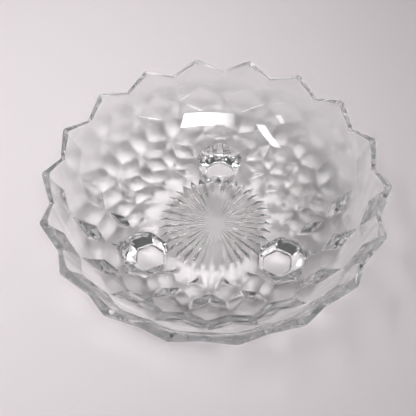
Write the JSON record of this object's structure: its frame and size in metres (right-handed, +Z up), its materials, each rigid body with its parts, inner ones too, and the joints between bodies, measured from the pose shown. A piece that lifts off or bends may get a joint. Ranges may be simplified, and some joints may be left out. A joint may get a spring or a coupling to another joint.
{
  "type": "footed candy dish",
  "caption": "Open clear pressed-glass candy dish with a zigzag rim, a cube relief outside, a rayed star base and short faceted feet.",
  "frame": {"origin": "on the table under the centre of the dish, level with the three foot pads", "axes": "+Z up out of the bowl's mouth, +Y towards the back foot, +X towards one point of the rim"},
  "size_m": [0.178, 0.1752, 0.0596],
  "materials": {
    "clear_glass": "clear colourless pressed glass, fire-polished and smooth"
  },
  "bodies": {
    "root": {"bowl": "clear_glass", "star_base": "clear_glass", "foot_back": "clear_glass", "foot_left": "clear_glass", "foot_right": "clear_glass"}
  },
  "joints": []
}
